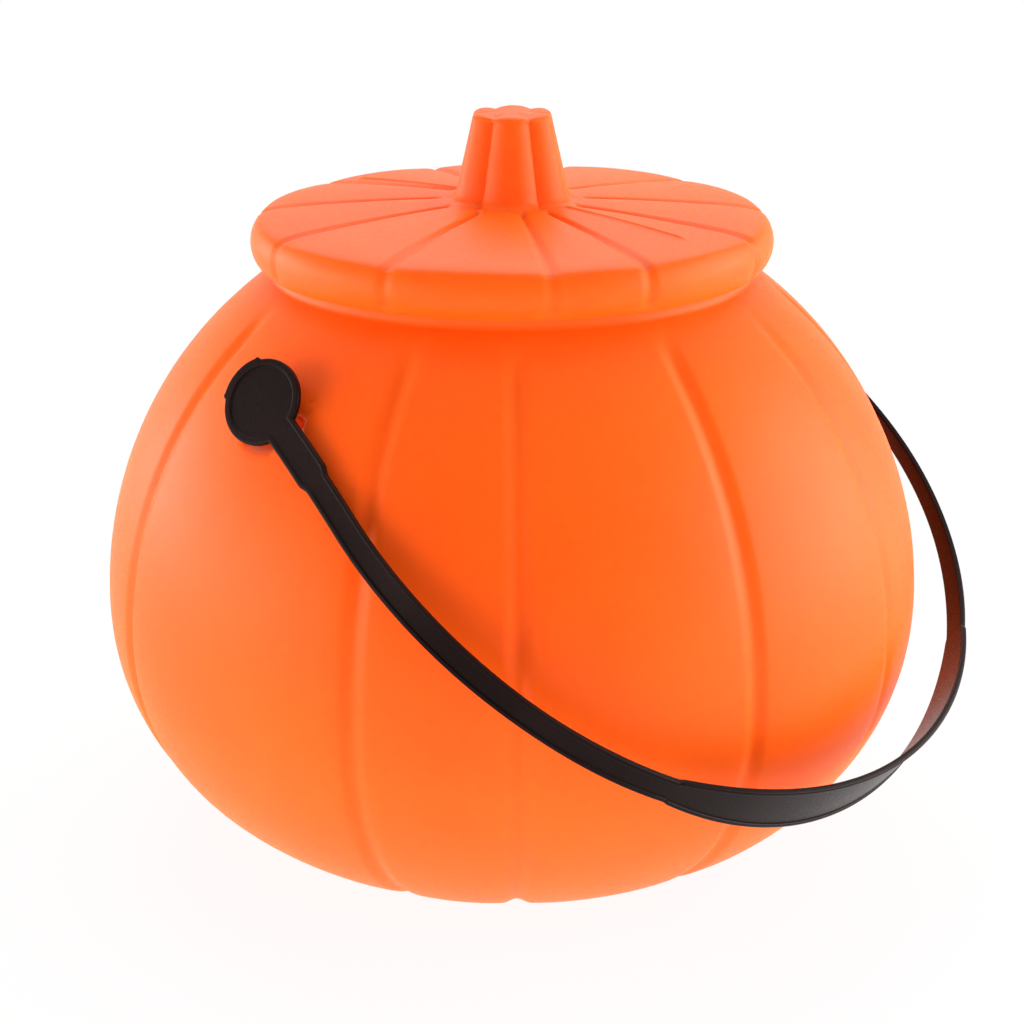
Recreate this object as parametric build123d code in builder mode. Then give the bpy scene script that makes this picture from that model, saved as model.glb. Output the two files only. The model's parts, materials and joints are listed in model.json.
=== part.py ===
# Pumpkin candy pail: a blow-moulded body, a lid with a stem, and a moulded strap handle.
# The origin is the middle of the base, +Z is up, the handle turns about X and hangs towards -Y.
import math
import os

from build123d import *

os.makedirs("parts", exist_ok=True)

# Body
belly_radius = 110.0
belly_height = 63.5
base_radius = 68.0
neck_radius = 63.0
neck_height = 3.0
mouth_height = 154.6
wall = 2.0
mouth_lip_radius = 0.6
groove_width = 7.5
groove_depth = 1.5

# Where the body's grooves lie, in degrees round from the near handle button
groove_angles = (-21.5, 21.8, 42.9, 74.1, 103.0, 131.0, 158.5, 201.5, 231.0, 263.0, 300.0)
groove_end_share = 0.985
body_seam_angle = 101.5

# Lid
lid_seat_gap = 0.1
rim_overhang = 5.4
rim_round = 7.2
rim_undercut_angle = 45.0
lid_crown = 1.6
lid_wall = 2.0
plug_clearance = 0.4
plug_depth = 8.5
lid_groove_width = 5.6
lid_groove_depth = 0.9
lid_groove_angles = (-18.5, 15.3, 50.0, 71.0, 106.0, 137.0, 173.0, 209.0, 243.0, 275.0, 308.0)
lid_groove_start = 3.5
lid_seam_angle = 110.0

# Stem on the lid
stem_height = 24.0
stem_base_radius = 17.5
stem_top_radius = 10.4
stem_top_round = 2.2
flute_count = 6
flute_turn = 12.0
flute_radius = 4.2
flute_depth = 1.6
flute_end_share = 0.9

# Handle strap
pivot_drop = 17.1
hang_angle = 36.5
strap_clearance = 0.7
bow_clearance = 14.3
leg_lean = 12.0
leg_twist = 28.0
twist_end_angle = 68.0
grip_half_angle = 40.0
strap_thickness = 3.0
strap_width = 8.8
grip_width = 12.4
neck_width = 10.6
neck_length = 27.0
neck_taper = 3.5
edge_rib = 1.2
channel_depth = 0.7

# Button at each end of the strap, with the peg that snaps into the wall
button_radius = 10.7
button_rim = 1.7
peg_radius = 3.0
peg_clearance = 0.06
peg_head_radius = 4.0
peg_head_length = 2.4
peg_head_chamfer = 0.8
peg_head_gap = 0.3
button_gap = 0.5
pocket_clearance = 0.7
hub_radius = 6.6
head_room = 0.6
overrun = 5.0

# Curves of the body: two arcs that meet, upright, at the widest height
shoulder_height = mouth_height - neck_height
pivot_height = shoulder_height - pivot_drop
lower_reach = belly_radius - base_radius
upper_reach = belly_radius - neck_radius
upper_rise = shoulder_height - belly_height
lower_arc = (lower_reach**2 + belly_height**2) / (2 * lower_reach)
upper_arc = (upper_reach**2 + upper_rise**2) / (2 * upper_reach)
lower_sweep = math.degrees(math.atan2(belly_height, lower_arc - lower_reach) + overrun / lower_arc)
upper_sweep = math.degrees(math.atan2(upper_rise, upper_arc - upper_reach))
inner_neck_radius = neck_radius - wall
inner_shoulder_height = belly_height + math.sqrt((upper_arc - wall) ** 2 - (upper_arc - upper_reach - wall) ** 2)
inner_base_radius = belly_radius - lower_arc + math.sqrt((lower_arc - wall) ** 2 - (belly_height - wall) ** 2)


def arc_radius_for(width, depth):
    return (width**2 / 4 + depth**2) / (2 * depth)


def upright_plane(angle):
    """The upright plane through the axis at an angle from +X, with Z up the page."""
    turn = math.radians(angle)
    return Plane((0, 0, 0), x_dir=(math.cos(turn), math.sin(turn), 0), z_dir=(math.sin(turn), -math.cos(turn), 0))


def groove_tool(tube_radius, stand_off):
    """A bent round bar along one meridian of the body, on the +X side."""
    bar_plane = Plane((0, 0, belly_height))
    bar_x = belly_radius + stand_off
    down_axis = Axis((belly_radius - lower_arc, 0, belly_height), (0, 1, 0))
    up_axis = Axis((belly_radius - upper_arc, 0, belly_height), (0, -1, 0))
    with BuildPart() as bar:
        with BuildSketch(bar_plane):
            with Locations((bar_x, 0)):
                Circle(tube_radius)
        revolve(axis=down_axis, revolution_arc=lower_sweep)
        with BuildSketch(bar_plane):
            with Locations((bar_x, 0)):
                Circle(tube_radius)
        revolve(axis=up_axis, revolution_arc=upper_sweep * groove_end_share)
    return bar.part


groove_radius = arc_radius_for(groove_width, groove_depth)
groove_stand_off = groove_radius - groove_depth
groove_spots = [Location((0, 0, 0), (0, 0, 180 + angle)) for angle in groove_angles]
outer_groove = groove_tool(groove_radius, groove_stand_off)
inner_ridge = groove_tool(groove_radius + wall, groove_stand_off)

# Handle geometry in the hanging plane: a along X, b down the hang, c across the strap
hang = math.radians(hang_angle)
swing_plane = Plane(
    origin=(0, 0, pivot_height),
    x_dir=(1, 0, 0),
    z_dir=(0, math.sin(hang), -math.cos(hang)),
)
lean = math.radians(leg_lean)
full_twist = math.radians(leg_twist)
button_tilt = math.acos(math.cos(lean) * math.cos(full_twist))

# The wall by the button: how far out it is, how it slopes, and how far it swells into the leg's way
wall_drop = pivot_height - belly_height
wall_run = math.sqrt(upper_arc**2 - wall_drop**2)
wall_reach = belly_radius - upper_arc + wall_run
wall_slope = wall_drop / wall_run
leg_gain = wall_slope * math.sin(hang) - math.tan(lean)
leg_curve = upper_arc**2 * math.sin(hang) ** 2 / wall_run**3 + math.cos(hang) ** 2 / wall_reach
wall_swell = leg_gain**2 / (2 * leg_curve)
wall_twist = math.atan(wall_slope * math.cos(hang) / math.hypot(1, wall_slope * math.sin(hang)))
edge_sink = neck_width / 2 * math.tan(abs(wall_twist - full_twist))
half_through = strap_thickness / 2 / math.cos(button_tilt)
button_reach = wall_reach + wall_swell + edge_sink + half_through + strap_clearance

# The bow passes the belly with its clearance, and its legs lean out from the buttons to meet it
bow_span = (belly_radius + bow_clearance) / math.cos(hang)
bow_drop = (bow_span - button_reach * math.cos(lean)) / (1 + math.sin(lean))
bow_radius = bow_span - bow_drop
leg_length = (bow_drop - bow_radius * math.sin(lean)) / math.cos(lean)
arc_turn = math.pi / 2 + lean - math.radians(twist_end_angle)
twist_length = leg_length + bow_radius * arc_turn


def leg_plane(along):
    """Section plane of the +X leg: x out of the strap's face, z down the leg."""
    if along <= leg_length:
        place = (button_reach + along * math.sin(lean), along * math.cos(lean))
        turn = math.pi / 2 + lean
    else:
        turn = math.pi / 2 + lean - (along - leg_length) / bow_radius
        place = (bow_radius * math.sin(turn), bow_drop + bow_radius * math.cos(turn))
    fade = min(1, max(0, (twist_length - along) / (twist_length - neck_length)))
    twist = full_twist * fade
    face = Vector(math.cos(twist) * math.sin(turn), math.cos(twist) * math.cos(turn), -math.sin(twist))
    down = Vector(-math.cos(turn), math.sin(turn), 0)
    origin = swing_plane.from_local_coords(Vector(place[0], place[1], 0))
    zero = swing_plane.origin
    return Plane(
        origin=origin,
        x_dir=swing_plane.from_local_coords(face) - zero,
        z_dir=swing_plane.from_local_coords(down) - zero,
    )


def leg_section(along, width):
    """Strap section on the leg: a flat bar with its outer face sunk between two edge ribs."""
    half = width / 2
    face = strap_thickness / 2
    floor = face - channel_depth
    lip = half - edge_rib
    with BuildSketch(leg_plane(along)) as section:
        Polygon(
            (-face, -half), (face, -half), (face, -lip), (floor, -lip),
            (floor, lip), (face, lip), (face, half), (-face, half),
            align=None,
        )
    return section.sketch


# Pivot in the wall: a round pocket about X whose floor is a cone that the tilted button clears
seat_reach = button_reach - half_through - button_gap
floor_slope = math.tan(button_tilt)
pocket_radius = button_radius + pocket_clearance
backing = wall / math.cos(button_tilt)
pivot_reach = belly_radius + overrun
hub_start = belly_radius - upper_arc + math.sqrt(upper_arc**2 - (pivot_height + hub_radius - belly_height) ** 2) - wall
head_room_radius = peg_head_radius + head_room
head_seat = seat_reach - floor_slope * head_room_radius - backing
hole_radius = peg_radius + peg_clearance
turning_plane = Plane((0, 0, pivot_height), x_dir=(1, 0, 0), z_dir=(0, -1, 0))
turning_axis = Axis((0, 0, pivot_height), (1, 0, 0))


def turned_about_pivot(*outline):
    """A solid turned about the pivot axis on the +X side, and its twin on the -X side."""
    with BuildPart() as turned:
        with BuildSketch(turning_plane):
            Polygon(*outline, align=None)
        revolve(axis=turning_axis)
        mirror(about=Plane.YZ)
    return turned.part


def floor_at(radius):
    return seat_reach - floor_slope * radius


pocket = turned_about_pivot(
    (seat_reach, 0), (floor_at(pocket_radius), pocket_radius), (pivot_reach, pocket_radius), (pivot_reach, 0)
)
pocket_backing = turned_about_pivot(
    (seat_reach - backing, 0), (floor_at(pocket_radius + wall) - backing, pocket_radius + wall),
    (pivot_reach, pocket_radius + wall), (pivot_reach, 0),
)
hub = turned_about_pivot((hub_start, 0), (hub_start, hub_radius), (seat_reach, hub_radius), (seat_reach, 0))
head_space = turned_about_pivot(
    (hub_start - overrun, 0), (hub_start - overrun, head_room_radius), (head_seat, head_room_radius), (head_seat, 0)
)
peg_hole = turned_about_pivot(
    (hub_start, 0), (hub_start, hole_radius), (pivot_reach, hole_radius), (pivot_reach, 0)
)

# Hollow of the body, with a ridge behind each groove and a bump behind each pocket
with BuildPart() as hollow:
    with BuildSketch(upright_plane(body_seam_angle)):
        with BuildLine():
            Line((0, wall), (inner_base_radius, wall))
            TangentArc(
                (belly_radius - wall, belly_height), (inner_base_radius, wall), tangent=(0, -1)
            )
            TangentArc(
                (belly_radius - wall, belly_height), (inner_neck_radius, inner_shoulder_height), tangent=(0, 1)
            )
            Line((inner_neck_radius, inner_shoulder_height), (inner_neck_radius, mouth_height + overrun))
            Line((inner_neck_radius, mouth_height + overrun), (0, mouth_height + overrun))
            Line((0, mouth_height + overrun), (0, wall))
        make_face()
    revolve(axis=Axis.Z)
    with Locations(*groove_spots):
        add(inner_ridge, mode=Mode.SUBTRACT)
    add(pocket_backing, mode=Mode.SUBTRACT)

with BuildPart() as pail_body:
    with BuildSketch(upright_plane(body_seam_angle)):
        with BuildLine():
            Line((0, 0), (base_radius, 0))
            TangentArc((belly_radius, belly_height), (base_radius, 0), tangent=(0, -1))
            TangentArc((belly_radius, belly_height), (neck_radius, shoulder_height), tangent=(0, 1))
            Line((neck_radius, shoulder_height), (neck_radius, mouth_height))
            Line((neck_radius, mouth_height), (0, mouth_height))
            Line((0, mouth_height), (0, 0))
        make_face()
    revolve(axis=Axis.Z)
    with Locations(*groove_spots):
        add(outer_groove, mode=Mode.SUBTRACT)
    add(hub)
    add(pocket, mode=Mode.SUBTRACT)
    add(hollow.part, mode=Mode.SUBTRACT)
    add(head_space, mode=Mode.SUBTRACT)
    add(peg_hole, mode=Mode.SUBTRACT)
    lip_edges = pail_body.edges().filter_by(GeomType.CIRCLE).group_by(Axis.Z)[-1]
    fillet(lip_edges, radius=mouth_lip_radius)
pail_body.part.label = "pail_body"
export_step(pail_body.part, "parts/pail_body.step")

# Lid: a hollow cushion with a rounded rim, a plug that drops into the mouth and a fluted stem
under_height = mouth_height + lid_seat_gap
undercut = math.radians(rim_undercut_angle)
rim_centre_radius = neck_radius + rim_overhang - rim_round
rim_centre_height = under_height + rim_round * math.sin(undercut)
rim_top_height = rim_centre_height + rim_round
under_radius = rim_centre_radius + rim_round * math.cos(undercut)
inner_round = rim_round - lid_wall
inner_under_height = under_height + lid_wall
inner_undercut = math.degrees(math.asin((rim_centre_height - inner_under_height) / inner_round))
inner_under_radius = rim_centre_radius + inner_round * math.cos(math.radians(inner_undercut))
plug_radius = inner_neck_radius - plug_clearance
plug_inner_radius = plug_radius - lid_wall
plug_end_height = under_height - plug_depth
crown_height = rim_top_height + lid_crown
stem_top_height = crown_height + stem_height
stem_hollow_radius = stem_top_radius - flute_depth - lid_wall
stem_flare = stem_base_radius - stem_top_radius
stem_arc = (stem_flare**2 + stem_height**2) / (2 * stem_flare)
stem_sweep = math.degrees(math.asin(stem_height / stem_arc))
lid_groove_inner_radius = stem_base_radius + lid_groove_start
lid_groove_radius = arc_radius_for(lid_groove_width, lid_groove_depth)
lid_groove_stand_off = lid_groove_radius - lid_groove_depth


def lid_groove_tool():
    """A round bar laid out along the lid's top and bent down round its rim, on the +X side."""
    bar_start = Vector(rim_centre_radius, 0, rim_top_height + lid_groove_stand_off)
    along_top = Vector(-rim_centre_radius, 0, lid_crown)
    with BuildPart() as bar:
        with BuildSketch(Plane(bar_start, x_dir=(0, 1, 0), z_dir=(-1, 0, 0))):
            Circle(lid_groove_radius)
        revolve(
            axis=Axis((rim_centre_radius, 0, rim_centre_height), (0, 1, 0)),
            revolution_arc=90 + rim_undercut_angle,
        )
        with BuildSketch(Plane(bar_start, x_dir=(0, 1, 0), z_dir=along_top)):
            Circle(lid_groove_radius)
        extrude(amount=rim_centre_radius - lid_groove_inner_radius)
    return bar.part


def flute_tool():
    """A round bar bent along the stem's flare, on the +X side."""
    bar_plane = Plane((0, 0, stem_top_height))
    bar_x = stem_top_radius + flute_radius - flute_depth
    flare_centre = (stem_top_radius + stem_arc, 0, stem_top_height)
    with BuildPart() as bar:
        with BuildSketch(bar_plane):
            with Locations((bar_x, 0)):
                Circle(flute_radius)
        revolve(axis=Axis(flare_centre, (0, -1, 0)), revolution_arc=stem_sweep * flute_end_share)
        with BuildSketch(bar_plane):
            with Locations((bar_x, 0)):
                Circle(flute_radius)
        extrude(amount=overrun)
    return bar.part


lid_groove = lid_groove_tool()
lid_groove_spots = [Location((0, 0, 0), (0, 0, 180 + angle)) for angle in lid_groove_angles]
flute = flute_tool()

with BuildPart() as lid:
    with BuildSketch(upright_plane(lid_seam_angle)):
        with BuildLine():
            Line((0, plug_end_height), (plug_radius, plug_end_height))
            Line((plug_radius, plug_end_height), (plug_radius, under_height))
            Line((plug_radius, under_height), (under_radius, under_height))
            CenterArc(
                (rim_centre_radius, rim_centre_height), rim_round, -rim_undercut_angle, 90 + rim_undercut_angle
            )
            Line((rim_centre_radius, rim_top_height), (0, crown_height))
            Line((0, crown_height), (0, plug_end_height))
        make_face()
    revolve(axis=Axis.Z)
    with BuildSketch(upright_plane(lid_seam_angle)):
        with BuildLine():
            Line((0, rim_centre_height), (stem_base_radius, rim_centre_height))
            Line((stem_base_radius, rim_centre_height), (stem_base_radius, crown_height))
            TangentArc((stem_top_radius, stem_top_height), (stem_base_radius, crown_height), tangent=(0, -1))
            Line((stem_top_radius, stem_top_height), (0, stem_top_height))
            Line((0, stem_top_height), (0, rim_centre_height))
        make_face()
    revolve(axis=Axis.Z)
    fillet(lid.edges().group_by(Axis.Z)[-1], radius=stem_top_round)
    with Locations(*lid_groove_spots):
        add(lid_groove, mode=Mode.SUBTRACT)
    with PolarLocations(0, flute_count, start_angle=flute_turn):
        add(flute, mode=Mode.SUBTRACT)
    with BuildSketch(upright_plane(lid_seam_angle)):
        with BuildLine():
            Line((0, plug_end_height - overrun), (plug_inner_radius, plug_end_height - overrun))
            Line((plug_inner_radius, plug_end_height - overrun), (plug_inner_radius, inner_under_height))
            Line((plug_inner_radius, inner_under_height), (inner_under_radius, inner_under_height))
            CenterArc(
                (rim_centre_radius, rim_centre_height), inner_round, -inner_undercut, 90 + inner_undercut
            )
            Line((rim_centre_radius, rim_top_height - lid_wall), (0, crown_height - lid_wall))
            Line((0, crown_height - lid_wall), (0, plug_end_height - overrun))
        make_face()
    revolve(axis=Axis.Z, mode=Mode.SUBTRACT)
    with BuildSketch(Plane.XY.offset(rim_centre_height)):
        Circle(stem_hollow_radius)
    extrude(amount=stem_top_height - lid_wall - rim_centre_height, mode=Mode.SUBTRACT)
lid.part.label = "lid"
export_step(lid.part, "parts/lid.step")

# Strap handle: a channel strap bent into a bow, wider at the grip, with a button and a peg at each end
button_frame = leg_plane(0)
button_face = Plane(button_frame.origin, x_dir=button_frame.z_dir, z_dir=button_frame.x_dir)
channel_floor = strap_thickness / 2 - channel_depth
bow_axis = Axis(swing_plane.from_local_coords(Vector(0, bow_drop, 0)), swing_plane.z_dir)
strap_start = neck_length + neck_taper
strap_run = twist_length - strap_start
grip_start = twist_length + bow_radius * math.radians(twist_end_angle - grip_half_angle)
peg_end = head_seat - peg_head_gap - peg_head_length
neck_shares = (0.25, 0.6, 1.0)
strap_shares = (0.0, 0.15, 0.3, 0.45, 0.6, 0.75, 0.9, 1.0)


with BuildPart() as handle_strap:
    with BuildSketch(button_face):
        Circle(button_radius)
    extrude(amount=strap_thickness / 2, both=True)
    with BuildSketch(Plane((peg_end, 0, pivot_height), z_dir=(1, 0, 0))):
        Circle(peg_radius)
    extrude(amount=button_reach - peg_end)
    with BuildSketch(Plane((peg_end, 0, pivot_height), z_dir=(1, 0, 0))):
        Circle(peg_head_radius)
    extrude(amount=peg_head_length)
    chamfer(handle_strap.edges().group_by(Axis.X)[0], length=peg_head_chamfer)
    loft([leg_section(neck_length * share, neck_width) for share in neck_shares])
    loft([leg_section(neck_length, neck_width), leg_section(strap_start, strap_width)])
    loft([leg_section(strap_start + strap_run * share, strap_width) for share in strap_shares])
    revolve(leg_section(twist_length, strap_width), axis=bow_axis, revolution_arc=twist_end_angle - grip_half_angle)
    with BuildSketch(button_face.offset(channel_floor)):
        Circle(button_radius - button_rim)
        with Locations((button_radius / 2, 0)):
            Rectangle(button_radius, neck_width - 2 * edge_rib)
    extrude(amount=overrun, mode=Mode.SUBTRACT)
    mirror(about=Plane.YZ)
    revolve(leg_section(grip_start, grip_width), axis=bow_axis, revolution_arc=2 * grip_half_angle)
handle_strap.part.label = "handle_strap"
export_step(handle_strap.part, "parts/handle_strap.step")
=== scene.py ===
import json
import math

import bmesh
import bpy
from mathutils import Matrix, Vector

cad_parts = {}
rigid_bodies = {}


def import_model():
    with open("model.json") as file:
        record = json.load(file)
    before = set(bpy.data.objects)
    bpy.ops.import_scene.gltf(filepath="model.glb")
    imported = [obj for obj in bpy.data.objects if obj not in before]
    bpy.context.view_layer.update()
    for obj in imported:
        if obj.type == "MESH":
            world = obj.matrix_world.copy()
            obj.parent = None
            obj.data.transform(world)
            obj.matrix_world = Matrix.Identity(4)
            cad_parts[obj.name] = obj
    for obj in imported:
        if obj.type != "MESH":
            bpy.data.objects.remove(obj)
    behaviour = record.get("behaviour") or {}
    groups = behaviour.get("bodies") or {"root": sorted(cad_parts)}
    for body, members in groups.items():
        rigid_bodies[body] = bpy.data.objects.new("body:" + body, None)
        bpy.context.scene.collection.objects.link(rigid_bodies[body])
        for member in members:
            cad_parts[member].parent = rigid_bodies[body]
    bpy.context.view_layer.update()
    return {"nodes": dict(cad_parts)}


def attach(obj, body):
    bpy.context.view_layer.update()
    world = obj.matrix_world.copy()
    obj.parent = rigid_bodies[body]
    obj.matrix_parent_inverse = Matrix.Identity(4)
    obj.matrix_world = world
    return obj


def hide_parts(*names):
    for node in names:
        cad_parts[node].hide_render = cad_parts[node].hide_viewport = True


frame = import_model()
scene = bpy.context.scene
scene.view_settings.view_transform = "Standard"
mm = 0.001
fullTurn = 2 * math.pi
overrun = 5.0  # how far a cutting shape runs past what it cuts, in millimetres
print("frame loaded:", ", ".join(sorted(frame["nodes"])))


# small tools for objects, meshes and nodes

def newObject(name, data):
    obj = bpy.data.objects.new(name, data)
    scene.collection.objects.link(obj)
    return obj


def dropObjects(*objs):
    for obj in objs:
        mesh = obj.data
        bpy.data.objects.remove(obj)
        bpy.data.meshes.remove(mesh)


def bakedMesh(obj):
    graph = bpy.context.evaluated_depsgraph_get()
    return bpy.data.meshes.new_from_object(obj.evaluated_get(graph))


def applyModifiers(obj):
    mesh = bakedMesh(obj)
    obj.modifiers.clear()
    old = obj.data
    obj.data = mesh
    bpy.data.meshes.remove(old)


def combine(obj, tool, operation):
    cut = obj.modifiers.new("cut", "BOOLEAN")
    cut.operation = operation
    cut.solver = "EXACT"
    cut.object = tool
    applyModifiers(obj)


def writeMesh(shape, mesh):
    bmesh.ops.recalc_face_normals(shape, faces=shape.faces)
    shape.to_mesh(mesh)
    shape.free()
    return mesh


def shadeByAngle(mesh, degrees):
    mesh.polygons.foreach_set("use_smooth", [True] * len(mesh.polygons))
    mesh.set_sharp_from_angle(angle=math.radians(degrees))


def dress(obj, material, sharpAngle):
    mesh = obj.data
    mesh.materials.clear()
    mesh.materials.append(material)
    mesh.polygons.foreach_set("material_index", [0] * len(mesh.polygons))
    shadeByAngle(mesh, sharpAngle)
    even = obj.modifiers.new("even", "WEIGHTED_NORMAL")
    even.keep_sharp = True
    applyModifiers(obj)


def socketOf(sockets, key):
    if isinstance(key, int):
        return sockets[key]
    return next(s for s in sockets if s.name == key and s.enabled)


def addNode(tree, kind, inputs=None, **settings):
    node = tree.nodes.new(kind)
    for name, value in settings.items():
        setattr(node, name, value)
    for key, value in (inputs or {}).items():
        socket = socketOf(node.inputs, key)
        if isinstance(value, bpy.types.NodeSocket):
            tree.links.new(value, socket)
        else:
            socket.default_value = value
    return node


def outOf(node, key=0):
    return socketOf(node.outputs, key)


def mathNode(tree, operation, *values):
    return outOf(addNode(tree, "ShaderNodeMath", dict(enumerate(values)), operation=operation))


def addSockets(tree, direction, kind, *names):
    for name in names:
        tree.interface.new_socket(name, in_out=direction, socket_type="NodeSocket" + kind)


# shading: one group for the cloudy, faintly grained skin of moulded plastic
skinNoise = {
    "cloudDetail": 3.0, "cloudRoughness": 0.5, "cloudFrom": 0.35, "cloudTo": 0.7,
    "grainDetail": 2.0, "grainRoughness": 0.55, "grainFrom": 0.3, "grainTo": 0.7,
    "waveDetail": 1.0, "grainHeight": 0.12,
}


def mouldedSkinGroup(noise):
    group = bpy.data.node_groups.new("mouldedSkin", "ShaderNodeTree")
    addSockets(group, "INPUT", "Color", "Main Colour", "Thin Colour")
    addSockets(group, "INPUT", "Float", "Cloud Scale", "Grain Scale", "Smooth", "Dull")
    addSockets(group, "OUTPUT", "Color", "Colour")
    addSockets(group, "OUTPUT", "Float", "Roughness", "Height")
    given = addNode(group, "NodeGroupInput")
    place = outOf(addNode(group, "ShaderNodeTexCoord"), "Object")
    cloud = addNode(group, "ShaderNodeTexNoise", {
        "Vector": place, "Scale": outOf(given, "Cloud Scale"),
        "Detail": noise["cloudDetail"], "Roughness": noise["cloudRoughness"]})
    cloudMask = addNode(group, "ShaderNodeMapRange", {
        "Value": outOf(cloud), "From Min": noise["cloudFrom"], "From Max": noise["cloudTo"]},
        interpolation_type="SMOOTHSTEP")
    tint = addNode(group, "ShaderNodeMix", {
        0: outOf(cloudMask), "A": outOf(given, "Main Colour"), "B": outOf(given, "Thin Colour")},
        data_type="RGBA")
    grain = addNode(group, "ShaderNodeTexNoise", {
        "Vector": place, "Scale": outOf(given, "Grain Scale"),
        "Detail": noise["grainDetail"], "Roughness": noise["grainRoughness"]})
    dull = addNode(group, "ShaderNodeMapRange", {
        "Value": outOf(grain), "From Min": noise["grainFrom"], "From Max": noise["grainTo"],
        "To Min": outOf(given, "Smooth"), "To Max": outOf(given, "Dull")})
    waves = addNode(group, "ShaderNodeTexNoise", {
        "Vector": place, "Scale": outOf(given, "Cloud Scale"), "Detail": noise["waveDetail"]})
    fine = mathNode(group, "MULTIPLY", outOf(grain), noise["grainHeight"])
    addNode(group, "NodeGroupOutput", {
        "Colour": outOf(tint, "Result"), "Roughness": outOf(dull),
        "Height": mathNode(group, "ADD", fine, outOf(waves))})
    return group


mouldedSkin = mouldedSkinGroup(skinNoise)


def mouldedPlastic(name, finish):
    material = bpy.data.materials.new(name)
    material.use_nodes = True
    tree = material.node_tree
    shader = tree.nodes["Principled BSDF"]
    skin = addNode(tree, "ShaderNodeGroup", node_tree=mouldedSkin)
    for key, value in finish["skin"].items():
        socketOf(skin.inputs, key).default_value = value
    bump = addNode(tree, "ShaderNodeBump", {
        "Strength": finish["bump"], "Distance": finish["bumpDepth"], "Height": outOf(skin, "Height")})
    tree.links.new(outOf(skin, "Colour"), shader.inputs["Base Color"])
    tree.links.new(outOf(skin, "Roughness"), shader.inputs["Roughness"])
    tree.links.new(outOf(bump), shader.inputs["Normal"])
    for key, value in finish["shader"].items():
        shader.inputs[key].default_value = value
    return material


orangeFinish = {
    "skin": {
        "Main Colour": (0.98, 0.090, 0.0018, 1), "Thin Colour": (1.0, 0.104, 0.0034, 1),
        "Cloud Scale": 14.0, "Grain Scale": 900.0, "Smooth": 0.40, "Dull": 0.50,
    },
    "bump": 0.12, "bumpDepth": 0.4 * mm,
    "shader": {
        "Subsurface Weight": 0.5, "Subsurface Radius": (1.0, 0.25, 0.06), "Subsurface Scale": 5.0 * mm,
        "Specular IOR Level": 0.12, "IOR": 1.5,
    },
}
blackFinish = {
    "skin": {
        "Main Colour": (0.0054, 0.0023, 0.0019, 1), "Thin Colour": (0.0072, 0.0034, 0.0029, 1),
        "Cloud Scale": 60.0, "Grain Scale": 1400.0, "Smooth": 0.26, "Dull": 0.36,
    },
    "bump": 0.1, "bumpDepth": 0.25 * mm,
    "shader": {"Specular IOR Level": 0.09, "IOR": 1.5, "Specular Tint": (1.0, 0.76, 0.73, 1)},
}
orangePlastic = mouldedPlastic("orangePlastic", orangeFinish)
blackPlastic = mouldedPlastic("blackPlastic", blackFinish)
print("materials made")


# one node tree turns a row of profile points about the axis and presses the grooves into it

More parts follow.
